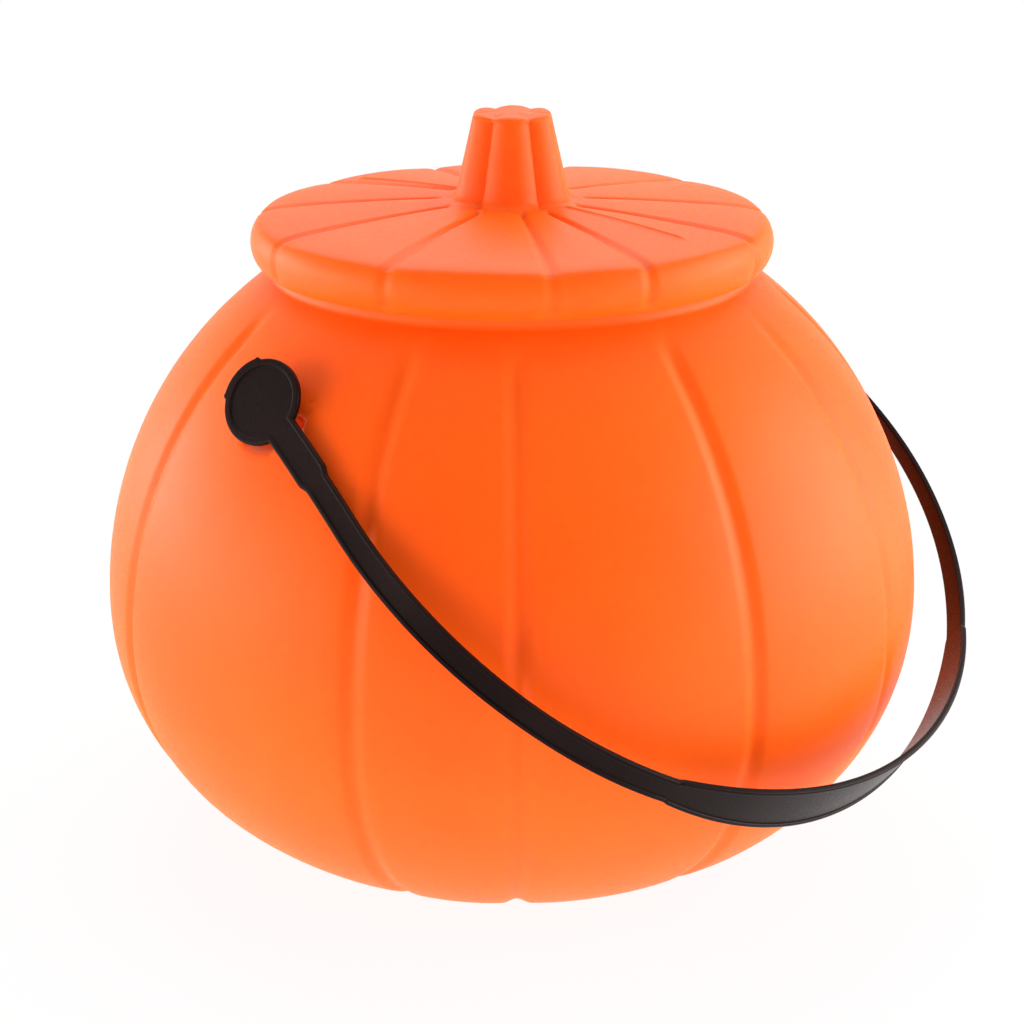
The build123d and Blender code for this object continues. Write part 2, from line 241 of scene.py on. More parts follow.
def turnedShellTree():
    tree = bpy.data.node_groups.new("turnedShell", "GeometryNodeTree")
    addSockets(tree, "INPUT", "Geometry", "Geometry")
    addSockets(tree, "INPUT", "Object", "Rows", "Columns")
    addSockets(tree, "INPUT", "Float", "Groove Width", "Groove Depth", "Pillow Depth", "Flute Depth",
               "Seam Width", "Seam Height", "Weld")
    addSockets(tree, "INPUT", "Material", "Material")
    addSockets(tree, "OUTPUT", "Geometry", "Geometry")
    given = addNode(tree, "NodeGroupInput")

    def pointsOf(name):
        info = addNode(tree, "GeometryNodeObjectInfo", {"Object": outOf(given, name)})
        size = addNode(tree, "GeometryNodeAttributeDomainSize", {"Geometry": outOf(info, "Geometry")})
        return outOf(info, "Geometry"), outOf(size, "Point Count")

    def sampled(points, attribute, kind, index):
        field = addNode(tree, "GeometryNodeInputNamedAttribute", {"Name": attribute}, data_type=kind)
        sample = addNode(tree, "GeometryNodeSampleIndex", {"Geometry": points, "Index": index},
                         data_type=kind)
        tree.links.new(outOf(field, "Attribute"), socketOf(sample.inputs, "Value"))
        return outOf(sample, "Value")

    def times(first, second):
        return mathNode(tree, "MULTIPLY", first, second)

    rowPoints, rowCount = pointsOf("Rows")
    columnPoints, columnCount = pointsOf("Columns")
    grid = addNode(tree, "GeometryNodeMeshGrid", {"Vertices X": columnCount, "Vertices Y": rowCount})
    index = outOf(addNode(tree, "GeometryNodeInputIndex"))
    row = mathNode(tree, "MODULO", index, rowCount)
    column = mathNode(tree, "FLOOR", mathNode(tree, "DIVIDE", index, rowCount))

    def fromRow(attribute):
        return sampled(rowPoints, attribute, "FLOAT", row)

    def fromColumn(attribute):
        return sampled(columnPoints, attribute, "FLOAT", column)

    radius = fromRow("radius")
    angle = fromColumn("angle")
    outward = addNode(tree, "ShaderNodeSeparateXYZ", {
        0: sampled(rowPoints, "outward", "FLOAT_VECTOR", row)})

    def softLine(gapAttribute, width, spread):
        # 1 on a line that runs down the profile, falling softly to 0 at half its width
        half = times(outOf(given, width), 0.5)
        return outOf(addNode(tree, "ShaderNodeMapRange", {
            "Value": times(radius, fromColumn(gapAttribute)),
            "From Min": 0.0, "From Max": times(half, spread), "To Min": 1.0, "To Max": 0.0},
            interpolation_type="SMOOTHSTEP"))

    def scaled(mask, share, depth):
        return times(times(mask, share), outOf(given, depth))

    grooveShare = times(fromRow("grooveShare"), fromColumn("grooveStrength"))
    grooveLine = softLine("grooveGap", "Groove Width", fromRow("grooveSpread"))
    groove = scaled(grooveLine, grooveShare, "Groove Depth")
    pillow = scaled(fromColumn("pillowWave"), grooveShare, "Pillow Depth")
    flute = scaled(fromColumn("fluteWave"), fromRow("fluteShare"), "Flute Depth")
    seam = scaled(softLine("seamGap", "Seam Width", 1.0), fromRow("seamShare"), "Seam Height")
    sunk = mathNode(tree, "ADD", mathNode(tree, "ADD", groove, pillow), flute)
    sunk = mathNode(tree, "SUBTRACT", sunk, seam)
    r = mathNode(tree, "SUBTRACT", radius, times(outOf(outward, "X"), sunk))
    z = mathNode(tree, "SUBTRACT", fromRow("height"), times(outOf(outward, "Z"), sunk))
    place = addNode(tree, "ShaderNodeCombineXYZ", {
        "X": times(r, mathNode(tree, "COSINE", angle)),
        "Y": times(r, mathNode(tree, "SINE", angle)), "Z": z})
    turned = addNode(tree, "GeometryNodeSetPosition", {
        "Geometry": outOf(grid, "Mesh"), "Position": outOf(place)})
    welded = addNode(tree, "GeometryNodeMergeByDistance", {
        "Geometry": outOf(turned), "Distance": outOf(given, "Weld")})
    soft = addNode(tree, "GeometryNodeSetShadeSmooth", {"Geometry": outOf(welded)})
    real = addNode(tree, "GeometryNodeRealizeInstances", {"Geometry": outOf(soft)})
    dressed = addNode(tree, "GeometryNodeSetMaterial", {
        "Geometry": outOf(real), "Material": outOf(given, "Material")})
    addNode(tree, "NodeGroupOutput", {"Geometry": outOf(dressed)})
    return tree


turnedShell = turnedShellTree()


def pointHolder(name, floats, outward=()):
    # a mesh of loose points that carries the rows or the columns as attributes
    count = len(next(iter(floats.values())))
    mesh = bpy.data.meshes.new(name)
    mesh.from_pydata([(0, 0, 0)] * count, [], [])
    for key, values in floats.items():
        mesh.attributes.new(key, "FLOAT", "POINT").data.foreach_set("value", values)
    if outward:
        flat = [part for direction in outward for part in direction]
        mesh.attributes.new("outward", "FLOAT_VECTOR", "POINT").data.foreach_set("vector", flat)
    return newObject(name, mesh)


def rowDirections(rows):
    found = []
    for i in range(len(rows)):
        before, after = rows[max(i - 1, 0)], rows[min(i + 1, len(rows) - 1)]
        run = Vector((after[0] - before[0], after[1] - before[1])).normalized()
        found.append((run[1], 0.0, -run[0]))
    return found


def sideMarks(angles):
    # the angles of grooves and seams count from the -X side
    return [math.radians(180 + angle) for angle in angles]


def nearestGap(angle, marks):
    return min((abs((angle - mark + math.pi) % fullTurn - math.pi) for mark in marks), default=math.pi)


def columnAngles(piece):
    # fine columns about each groove and coarse ones between, once round and back to the first
    fineHalf, fineStep, coarseStep = (
        math.radians(piece[key]) for key in ("fineHalf", "fineStep", "coarseStep"))
    marks = sorted(mark % fullTurn for mark in sideMarks(piece["grooveAngles"]))
    found = []
    for i, mark in enumerate(marks):
        following = marks[i + 1] if i + 1 < len(marks) else marks[0] + fullTurn
        count = round(min(fineHalf, (following - mark) / 2) / fineStep)
        found += [mark + fineStep * k for k in range(-count if i == 0 else 0, count + 1)]
        start, end = mark + count * fineStep, following - count * fineStep
        steps = max(1, round((end - start) / coarseStep))
        found += [start + (end - start) * k / steps for k in range(1, steps)]
        if i + 1 < len(marks):
            found += [following + fineStep * k for k in range(-count, 0)]
    return found + [found[0] + fullTurn]


def fluteWave(angle, piece):
    # sharp at the bottom of a flute, round on the ribs between
    if not piece["fluteCount"]:
        return 0.0
    step = fullTurn / piece["fluteCount"]
    gap = (angle - math.radians(piece["fluteTurn"]) + step / 2) % step - step / 2
    return (1 - 2 * abs(gap) / step) ** 2


# what a row of a turned piece holds, in this order
rowKeys = ("radius", "height", "grooveShare", "grooveSpread", "fluteShare", "seamShare")


def turnedMesh(name, rows, columns, piece, material):
    grooves, faint, seams = (
        sideMarks(piece[key]) for key in ("grooveAngles", "faintAngles", "seamAngles"))
    pillowHalf = math.radians(piece["pillowHalf"])
    gaps = [nearestGap(a, grooves) for a in columns]
    holder = newObject(name, bpy.data.meshes.new(name))
    rowPoints = pointHolder(name + "Rows", dict(zip(rowKeys, zip(*rows))), rowDirections(rows))
    columnPoints = pointHolder(name + "Columns", {
        "angle": columns, "grooveGap": gaps, "seamGap": [nearestGap(a, seams) for a in columns],
        "grooveStrength": [piece["faintStrength"] if nearestGap(a, faint) < pillowHalf else 1.0
                           for a in columns],
        "pillowWave": [max(0.0, 1 - gap / pillowHalf) ** 2 for gap in gaps],
        "fluteWave": [fluteWave(a, piece) for a in columns]})
    turn = holder.modifiers.new("turn", "NODES")
    turn.node_group = turnedShell
    values = {"Rows": rowPoints, "Columns": columnPoints, "Material": material}
    values.update({key: size * mm for key, size in piece["sizes"].items()})
    for item in turnedShell.interface.items_tree:
        if item.in_out == "INPUT" and item.name in values:
            turn[item.identifier] = values[item.name]
    mesh = bakedMesh(holder)
    dropObjects(holder, rowPoints, columnPoints)
    shape = bmesh.new()
    shape.from_mesh(mesh)
    return writeMesh(shape, mesh)


# points and blends that the profiles are made of

def spaced(start, end, count):
    return [start + (end - start) * i / count for i in range(count + 1)]


def linePoints(start, end, count):
    return list(zip(*(spaced(a, b, count - 1) for a, b in zip(start, end))))


def arcPoints(centre, radius, start, end, count):
    return [(centre[0] + radius * math.cos(t), centre[1] + radius * math.sin(t))
            for t in spaced(start, end, count - 1)]


def bezierPoints(start, corner, end, count):
    return [tuple((1 - t) ** 2 * a + 2 * t * (1 - t) * b + t * t * c
                  for a, b, c in zip(start, corner, end)) for t in spaced(0, 1, count - 1)]


def ramp(value, low, high):
    t = min(1.0, max(0.0, (value - low) / (high - low)))
    return t * t * (3 - 2 * t)


def blend(value, low, high, first, last):
    return first + (last - first) * ramp(value, low, high)


# pail body: belly, neck and grooves, in millimetres and degrees
pailBody = {
    "bellyRadius": 110.0, "bellyHeight": 63.5, "baseRadius": 68.0, "neckRadius": 63.0,
    "shoulderHeight": 151.6, "mouthHeight": 154.6, "wall": 2.0, "waistRound": 2.0,
    "lipRound": 0.6, "lipRun": 0.6, "lipFlat": 1.0, "lipLift": 0.1,
    "baseFlat": 0.9, "baseEdge": (0.92, 0.985), "floorFlat": 0.97,  # shares of the base and the floor
    "grooveAngles": (-21.5, 21.8, 42.9, 74.1, 103.0, 131.0, 158.5, 201.5, 231.0, 263.0, 300.0),
    "faintAngles": (103.0,), "faintStrength": 0.5, "seamAngles": (), "fluteCount": 0,
    "baseFade": 0.93, "baseFadeHeight": 10.0, "neckFade": (141.0, 150.0),  # a share, then heights
    "pillowHalf": 10.0,
    "fineHalf": 4.4, "fineStep": 0.44, "coarseStep": 2.6, "innerOffsetShare": 0.37, "sharpAngle": 38.0,
    "rowCounts": {"base": 5, "lower": 38, "upper": 52, "waist": 6, "lip": 5,
                  "innerLower": 20, "innerUpper": 28},
    "sizes": {"Groove Width": 7.6, "Groove Depth": 1.0, "Pillow Depth": 0.45, "Flute Depth": 0.0,
              "Seam Width": 1.0, "Seam Height": 0.0, "Weld": 0.004},
}
# strap handle and the pivots that carry it, in millimetres and degrees
strapHandle = {
    # how the strap hangs and turns
    "pivotHeight": 134.5, "hangAngle": 36.5, "startHang": 31.1, "endHang": 45.6, "bowRadius": 96.7,
    "buttonLean": 12.0, "buttonTwist": 28.0, "buttonReach": 88.9,
    "twistLength": 141.0, "faceTurn": 8.5, "faceTurnEnd": 70.0,
    # its section and its width from the button to the grip
    "thickness": 1.6, "edgeRib": 1.1, "channelDepth": 0.5, "edgeRound": 0.35, "ribRound": 0.2,
    "roundShare": 0.3, "ribFoot": 0.1,
    "plateLength": 14.0, "neckWidth": 8.2, "neckLength": 24.6, "neckTaper": 3.0,
    "strapWidth": 6.5, "strapEndWidth": 7.5, "strapGrowth": 45.0,
    "gripHalf": 39.8, "gripStep": 1.6, "gripEndWidth": 8.6, "gripWidth": 17.2, "gripFullness": 2.3,
    "rowStep": 2.0, "taperRows": 4, "stepRows": 6, "weld": 0.002, "sharpAngle": 60.0,
    # the buttons with their moulding gates, and the pegs
    "buttonRadius": 10.7, "buttonRim": 1.7, "buttonSteps": 120,
    "earHeight": 0.9, "earTurns": (151.0, 218.0), "earHalf": 5.0, "gateHeight": 0.6,
    "pegRadius": 3.0, "pegClearance": 0.06, "pegHeadRadius": 3.6, "pegHeadLength": 2.4,
    "pegHeadChamfer": 0.8, "pegHeadGap": 0.3,
    # pockets and hubs in the body, their sides as (reach, radius) pairs
    "pocketSeat": 86.66, "pocketSide": ((81.0, 9.7), (82.6, 10.1), (84.2, 10.8), (86.2, 11.2)),
    "pocketTop": 88.6, "pocketClearance": 0.7,
    "hubStart": 72.8, "hubRadius": 5.2, "hubSide": ((77.0, 5.2), (78.8, 4.2)), "hubEnd": 4.2,
    "headRoom": 0.3, "seatDrop": 4.3,
    "toolSegments": {"backing": 109, "hub": 97, "pocket": 120, "headSpace": 71, "pegHole": 83,
                     "peg": 64},
    # how the mesh about a pocket is cut small and its rims are smoothed
    "rimSoftening": {
        "reach": 16.0, "innermost": 70.0, "core": 6.0, "margin": 3.0, "weld": 0.02,
        "edge": 0.9, "cuts": 4, "refined": 1.8, "sharp": 22.0, "skin": 0.8,
        "rimFrom": 9.0, "rimMargin": 1.0, "spread": 3, "passes": 10, "factor": 0.5,
    },
}


def pailCurves(pail):
    # radii of the arcs from base to belly and from belly to neck
    lowerReach = pail["bellyRadius"] - pail["baseRadius"]
    upperReach = pail["bellyRadius"] - pail["neckRadius"]
    rise = pail["shoulderHeight"] - pail["bellyHeight"]
    lower = (lowerReach**2 + pail["bellyHeight"]**2) / (2 * lowerReach)
    upper = (upperReach**2 + rise**2) / (2 * upperReach)
    return lower, upper


def pailProfiles(pail):
    # the outer skin, closed over the mouth, and the hollow, which runs on above it
    lower, upper = pailCurves(pail)
    belly, base, neck, wall = (pail[key] for key in ("bellyHeight", "baseRadius", "neckRadius", "wall"))
    lip, top, bend, rows = (pail[key] for key in ("lipRound", "mouthHeight", "waistRound", "rowCounts"))
    lowCentre = (pail["bellyRadius"] - lower, belly)
    highCentre = (pail["bellyRadius"] - upper, belly)
    baseTurn = -math.asin(belly / lower)
    waistTurn = math.acos((neck + bend - highCentre[0]) / (upper + bend))
    waist = (neck + bend, belly + (upper + bend) * math.sin(waistTurn))
    edgeStart, edgeEnd = (base * share for share in pail["baseEdge"])
    outside = linePoints((0, 0), (base * pail["baseFlat"], 0), rows["base"])
    outside += linePoints((edgeStart, 0), (edgeEnd, 0), rows["base"])
    outside += arcPoints(lowCentre, lower, baseTurn, 0, rows["lower"])
    outside += arcPoints(highCentre, upper, 0, waistTurn, rows["upper"])[1:]
    outside += arcPoints(waist, bend, math.pi + waistTurn, math.pi, rows["waist"])[1:]
    outside += [(neck, top - lip - pail["lipRun"])]
    outside += arcPoints((neck - lip, top - lip), lip, 0, math.pi / 2, rows["lip"])
    outside += [(neck - pail["lipFlat"], top), (neck / 2, top), (0, top)]
    floorTurn = -math.asin((belly - wall) / (lower - wall))
    floorEnd = lowCentre[0] + (lower - wall) * math.cos(floorTurn)
    innerNeck = neck - wall
    neckTurn = math.acos((innerNeck - highCentre[0]) / (upper - wall))
    lipCentre = (innerNeck + lip, top - lip + pail["lipLift"])
    inside = linePoints((0, wall), (floorEnd * pail["floorFlat"], wall), rows["base"])
    inside += arcPoints(lowCentre, lower - wall, floorTurn, 0, rows["innerLower"])
    inside += arcPoints(highCentre, upper - wall, 0, neckTurn, rows["innerUpper"])[1:]
    inside += [(innerNeck, top - lip)]
    inside += arcPoints(lipCentre, lip, math.pi, math.pi / 2, rows["lip"])[1:]
    inside += [(r, top + overrun) for r in (innerNeck + lip, innerNeck / 2, 0)]
    return outside, inside


def pailRows(points, pail):
    # the grooves fade out at the edge of the base and below the neck
    base = pail["baseRadius"]
    rows = []
    for r, z in points:
        if z < pail["baseFadeHeight"]:
            share = ramp(r, base * pail["baseFade"], base)
        else:
            share = 1 - ramp(z, *pail["neckFade"])
        rows.append((r * mm, z * mm, share, 1.0, 0.0, 0.0))
    return rows


def pivotGeometry(pail, strap):
    hang, lean, twist, start, end = (math.radians(strap[key]) for key in (
        "hangAngle", "buttonLean", "buttonTwist", "startHang", "endHang"))
    across = math.cos(twist) * math.cos(lean)  # also the cosine of the button's tilt
    along = -math.cos(twist) * math.sin(lean)
    over = -math.sin(twist)
    normal = Vector((across, -along * math.cos(hang) + over * math.sin(hang),
                     -along * math.sin(hang) - over * math.cos(hang)))
    # the legs leave the buttons in the buttons' plane, then the whole strap bends down a little
    legLean = math.atan((math.sin(start) * normal.z + math.cos(start) * normal.y) / normal.x)
    bow = strap["bowRadius"]
    legLength = (bow * math.cos(legLean) - strap["buttonReach"]) / math.sin(legLean)
    bowDrop = legLength * math.cos(legLean) + bow * math.sin(legLean)
    bendStart = strap["plateLength"] * math.cos(legLean)
    middle = legLength + bow * (math.pi / 2 + legLean)
    slope = math.tan(math.acos(across))
    headRoom = strap["pegHeadRadius"] + strap["headRoom"]
    backing = pail["wall"] / across
    return {
        "normal": normal, "slope": slope, "backing": backing, "headRoom": headRoom,
        "headSeat": strap["pocketSeat"] - slope * headRoom - backing - strap["seatDrop"],
        "lean": legLean, "legLength": legLength, "bowDrop": bowDrop,
        "startHang": start, "bendStart": bendStart, "bend": (end - start) / (bowDrop + bow - bendStart),
        "gripStart": middle - bow * math.radians(strap["gripHalf"]), "middle": middle,
    }


pivot = pivotGeometry(pailBody, strapHandle)


def turnedAboutPivot(name, outline, segments):
    # outline is (reach, radius) pairs; both sides of the pail get one
    axis = strapHandle["pivotHeight"]
    turns = [fullTurn * (k + 0.5) / segments for k in range(segments)]
    shape = bmesh.new()
    for side in (1, -1):
        rings = []
        for reach, radius in outline:
            stops = turns if radius else [0]
            points = [(radius * math.cos(t), axis + radius * math.sin(t)) for t in stops]
            rings.append([shape.verts.new((side * reach * mm, y * mm, z * mm)) for y, z in points])
        for first, second in zip(rings, rings[1:]):
            for k in range(segments):
                n = (k + 1) % segments
                corners = [first[k % len(first)], first[n % len(first)],
                           second[n % len(second)], second[k % len(second)]]
                shape.faces.new(dict.fromkeys(corners))  # a point on the axis counts once
    return newObject(name, writeMesh(shape, bpy.data.meshes.new(name)))


def pivotTools(pail, strap):
    # outlines of what is added to the body and cut from it about each pivot
    seat, hub, slope, backing = strap["pocketSeat"], strap["hubStart"], pivot["slope"], pivot["backing"]
    pocket = strap["buttonRadius"] + strap["pocketClearance"]
    back = pocket + pail["wall"]
    backEdge = seat - slope * back - backing
    room, roomEnd = pivot["headRoom"], pivot["headSeat"]
    hole = strap["pegRadius"] + strap["pegClearance"]
    outEnd, inEnd = pail["bellyRadius"] + overrun, hub - overrun
    return {
        "backing": [(seat - backing, 0), (backEdge, back), (outEnd, back), (outEnd, 0)],
        "hub": [(hub, 0), (hub, strap["hubRadius"]), *strap["hubSide"],
                (seat, strap["hubEnd"]), (seat, 0)],
        "pocket": [(seat, 0), *strap["pocketSide"], (strap["pocketTop"], pocket),
                   (outEnd, pocket), (outEnd, 0)],
        "headSpace": [(inEnd, 0), (inEnd, room), (roomEnd, room), (roomEnd, 0)],
        "pegHole": [(hub, 0), (hub, hole), (outEnd, hole), (outEnd, 0)],
    }


def softenRims(obj, pail, strap):
    # cut the faces about the pockets small, then smooth the mesh along their sharp rims
    rim = strap["rimSoftening"]
    axis = strap["pivotHeight"] * mm
    upper = pailCurves(pail)[1]
    shape = bmesh.new()
    shape.from_mesh(obj.data)

    def inReach(verts, reach):
        return all(math.hypot(v.co.y, v.co.z - axis) < reach * mm
                   and abs(v.co.x) > rim["innermost"] * mm for v in verts)

    def inRing(verts, reach):
        return inReach(verts, reach) and not any(inReach([v], rim["core"]) for v in verts)

    def wallRadius(height):
        return pail["bellyRadius"] - upper + math.sqrt(upper**2 - (height - pail["bellyHeight"])**2)

    def onWall(verts, depth):
        return all(math.hypot(v.co.x, v.co.y) / mm > wallRadius(v.co.z / mm) - depth for v in verts)

    def clean():
        reach, weld = rim["reach"] + rim["margin"], rim["weld"] * mm
        near = [v for v in shape.verts if inRing([v], reach)]
        bmesh.ops.remove_doubles(shape, verts=near, dist=weld)
        edges = [e for e in shape.edges if inRing(e.verts, reach)]
        bmesh.ops.dissolve_degenerate(shape, edges=edges, dist=weld)
        faces = [f for f in shape.faces if len(f.verts) > 3 and inRing(f.verts, reach)]
        bmesh.ops.triangulate(shape, faces=faces)

    clean()
    for _ in range(rim["cuts"]):
        longEdges = [e for e in shape.edges if e.calc_length() > rim["edge"] * mm
                     and inRing(e.verts, rim["reach"]) and onWall(e.verts, rim["refined"])]
        bmesh.ops.subdivide_edges(shape, edges=longEdges, cuts=1)
        clean()
    rims = [e for e in shape.edges
            if inReach(e.verts, rim["reach"]) and not inReach(e.verts, rim["rimFrom"])
            and len(e.link_faces) == 2 and e.calc_face_angle() > math.radians(rim["sharp"])
            and onWall(e.verts, rim["skin"])]
    near = {v for e in rims for v in e.verts}
    for _ in range(rim["spread"]):
        near |= {e.other_vert(v) for v in near for e in v.link_edges}
    still = rim["rimFrom"] - rim["rimMargin"]
    moving = [v for v in shape.verts
              if v in near and inReach([v], rim["reach"]) and not inReach([v], still)]
    for _ in range(rim["passes"]):
        bmesh.ops.smooth_vert(shape, verts=moving, factor=rim["factor"],
                              use_axis_x=True, use_axis_y=True, use_axis_z=True)
    writeMesh(shape, obj.data)


def makeBody(pail, strap):
    outside, inside = pailProfiles(pail)
    columns = columnAngles(pail)
    # the inner columns are turned a little, so that no edge of one skin lies on an edge of the other
    shift = math.radians(pail["fineStep"]) * pail["innerOffsetShare"]
    shifted = [angle + shift for angle in columns]
    outer = turnedMesh("outer", pailRows(outside, pail), columns, pail, orangePlastic)
    inner = turnedMesh("inner", pailRows(inside, pail), shifted, pail, orangePlastic)
    body, hollow = newObject("pail_shell", outer), newObject("hollow", inner)
    # each tool has its own count of segments, so that no two have edges in one plane
    tools = {name: turnedAboutPivot(name, outline, strap["toolSegments"][name])
             for name, outline in pivotTools(pail, strap).items()}
    combine(hollow, tools["backing"], "DIFFERENCE")
    combine(body, tools["hub"], "UNION")
    for tool in (tools["pocket"], hollow, tools["headSpace"], tools["pegHole"]):
        combine(body, tool, "DIFFERENCE")
    dropObjects(hollow, *tools.values())
    softenRims(body, pail, strap)
    dress(body, orangePlastic, pail["sharpAngle"])
    return body


bodyPiece = makeBody(pailBody, strapHandle)
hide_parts("pail_body")
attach(bodyPiece, "pail")
print("pail body:", len(bodyPiece.data.polygons), "faces")


# lid: domed top, cushion rim, plug and the fluted stem in one turned shell, in millimetres and degrees
pailLid = {
    "crown": 170.4, "wall": 2.0, "seatGap": 0.1, "rimCentre": (61.8, 160.2), "rimRadii": (6.6, 7.6),
    "crestTurn": 62.0, "crestRound": 9.0, "crestBend": 18.0, "undercutTurn": -48.0,
    "grooveAngles": (-18.5, 15.3, 50.0, 71.0, 106.0, 137.0, 173.0, 209.0, 243.0, 275.0, 308.0),
    "grooveStart": (15.5, 20.0), "innerSpread": 0.5, "faintAngles": (), "pillowHalf": 16.0,
    "rimShare": 0.65, "rimFade": 2.0,
    # the seam's line across the top grows thicker, then ends, at these distances inside the crest
    "seamAngles": (-90.0, 90.0), "seamGrowth": (6.0, 4.0), "seamEnd": (3.0, 2.0),
    "stemTop": 192.59, "stemTopRadius": 10.6, "stemBaseRadius": 15.8, "stemRound": 1.7, "stemFoot": 2.2,
    "stemFlatGap": 1.0, "fluteCount": 6, "fluteTurn": 10.0, "fluteStart": 2.0, "fluteTopLoss": 0.55,
    # underside: the skirt's edge, the plug with its tip as (inset, rise) pairs, and the hollow
    "skirtRound": (0.4, 0.1), "skirtInset": 0.7, "plugClearance": 0.4, "plugDepth": 8.5,
    "plugRound": 0.4, "plugTip": ((0.0, 0.8), (0.3, 0.2), (0.7, 0.0)), "ledgeRound": 0.3,
    "innerTurns": (-36.0, -20.0, 0.0, 15.0, 30.0, 45.0), "innerRadii": (55.0, 45.0, 35.0, 25.0, 15.0),
    "hollowEdge": 0.5, "hollowRound": 0.6,
    "fineHalf": 3.0, "fineStep": 0.3, "coarseStep": 2.0, "angleDigits": 5, "sharpAngle": 50.0,
    "seamColumns": (-0.6, -0.4, -0.2, 0.0, 0.2, 0.4, 0.6),
    "rowCounts": {"stemTop": 7, "stemRound": 8, "stemSide": 18, "stemFoot": 7,
                  "top": 34, "crest": 11, "rim": 22},
    "sizes": {"Groove Width": 5.6, "Groove Depth": 0.7, "Pillow Depth": 0.6, "Flute Depth": 1.7,
              "Seam Width": 1.4, "Seam Height": 0.5, "Weld": 0.004},
}


def lidRows(lid):
    rimX, rimZ = lid["rimCentre"]
    wide, tall = lid["rimRadii"]
    crown, wall, counts = lid["crown"], lid["wall"], lid["rowCounts"]
    top, tip, stemBase = lid["stemTop"], lid["stemTopRadius"], lid["stemBaseRadius"]
    under = pailBody["mouthHeight"] + lid["seatGap"]
    rows = []

    def rimPoint(turn, inset=0.0):
        t = math.radians(turn)
        return rimX + (wide - inset) * math.cos(t), rimZ + (tall - inset) * math.sin(t)

    crest = rimPoint(lid["crestTurn"])

    def topPoint(r, inset=0.0):
        return r, crown - (crown - crest[1]) * (r / crest[0]) ** 2 - inset

    def stemPoint(z):
        return tip + (stemBase - tip) * (top - z) / (top - crown), z

    def add(points, groove=None, flute=None, seam=None):
        for r, z in points:
            spread = blend(r, stemBase, crest[0], lid["innerSpread"], 1.0)
            shares = [share(r, z) if share else 0.0 for share in (groove, flute, seam)]
            rows.append((r * mm, z * mm, shares[0], spread, shares[1], shares[2]))

    def fluteShare(r, z):
        lost = lid["fluteTopLoss"] * ramp(z, top - lid["stemRound"], top)
        return (1 - lost) * ramp(r, lid["fluteStart"], tip - lid["fluteStart"])

    def footShare(r, z):
        return 1 - ramp(r, sideEnd[0], foot[0])

    def grooveShare(r, z):
        return ramp(r, *lid["grooveStart"])

    def rimShare(r, z):
        return lid["rimShare"] * ramp(z, under, under + lid["rimFade"])

    def seamShare(r, z):
        growth, end = ([crest[0] - gap for gap in lid[key]] for key in ("seamGrowth", "seamEnd"))
        return (1 + ramp(r, *growth)) * (1 - ramp(r, *end))

    # stem, from the middle of its top down to its foot
    topEdge = tip - lid["stemRound"]
    sideStart, sideEnd = stemPoint(top - lid["stemRound"]), stemPoint(crown + lid["stemFoot"])
    foot = topPoint(stemBase + lid["stemFoot"])
    add(linePoints((0, top), (topEdge - lid["stemFlatGap"], top), counts["stemTop"]), flute=fluteShare)
    add(bezierPoints((topEdge, top), (tip, top), sideStart, counts["stemRound"]), flute=fluteShare)
    add(linePoints(sideStart, sideEnd, counts["stemSide"])[1:], flute=fluteShare)
    add(bezierPoints(sideEnd, topPoint(stemBase), foot, counts["stemFoot"])[1:], flute=footShare)
    # top, from the stem's foot to the crest
    flatEnd = topPoint(crest[0] - lid["crestRound"])
    radii = spaced(foot[0], flatEnd[0], counts["top"])[1:]
    add([topPoint(r) for r in radii], groove=grooveShare, seam=seamShare)
    # crest, one soft curve whose corner lies on the run of the top and of the rim, then the rim
    bendTurn = lid["crestTurn"] - lid["crestBend"]
    bend, t = rimPoint(bendTurn), math.radians(bendTurn)
    runX, runZ = -wide * math.sin(t), tall * math.cos(t)
    slope = -2 * (crown - crest[1]) * flatEnd[0] / crest[0] ** 2
    reach = (flatEnd[1] + slope * (bend[0] - flatEnd[0]) - bend[1]) / (runZ - slope * runX)
    corner = (bend[0] + reach * runX, bend[1] + reach * runZ)
    add(bezierPoints(flatEnd, corner, bend, counts["crest"])[1:], groove=grooveShare)
    turns = spaced(bendTurn, lid["undercutTurn"], counts["rim"])[1:]
    add([rimPoint(turn) for turn in turns], groove=rimShare)
    # underside, from the skirt down round the plug and up into the hollow
    skirt = rimPoint(lid["undercutTurn"])
    skirtIn, skirtUp = lid["skirtRound"]
    plug = pailBody["neckRadius"] - pailBody["wall"] - lid["plugClearance"]
    plugEnd, inside, ledge = under - lid["plugDepth"], plug - wall, under + wall
    soft, ledgeSoft = lid["plugRound"], lid["ledgeRound"]
    add([(skirt[0] - skirtIn, skirt[1] + skirtUp), (skirt[0] - lid["skirtInset"], under)])
    add([(plug + soft, under), (plug, under - soft)])
    add([(plug - inset, plugEnd + rise) for inset, rise in lid["plugTip"]])
    add([(inside + soft, plugEnd), (inside, plugEnd + soft)])
    add([(inside, ledge - ledgeSoft), (inside + ledgeSoft, ledge)])
    add([rimPoint(turn, wall) for turn in (*lid["innerTurns"], lid["crestTurn"])])
    hollow, roof = tip - lid["sizes"]["Flute Depth"] - wall, top - wall
    soft = lid["hollowRound"]
    add([topPoint(r, wall) for r in (*lid["innerRadii"], hollow + lid["hollowEdge"])])
    add([(hollow, crown - wall + soft), (hollow, roof - soft)])
    add([(r, roof) for r in (hollow - soft, hollow / 2, 0)])
    return rows[::-1]


def lidColumns(lid):
    # the grooves' columns, with more along the seam and one down each flute
    seams = [angle + step for angle in lid["seamAngles"] for step in lid["seamColumns"]]
    flutes = [math.radians(lid["fluteTurn"] + 360 / lid["fluteCount"] * k)
              for k in range(lid["fluteCount"])]
    every = columnAngles(lid)[:-1] + sideMarks(seams) + flutes
    ring = sorted({round(angle % fullTurn, lid["angleDigits"]) for angle in every})
    return ring + [ring[0] + fullTurn]


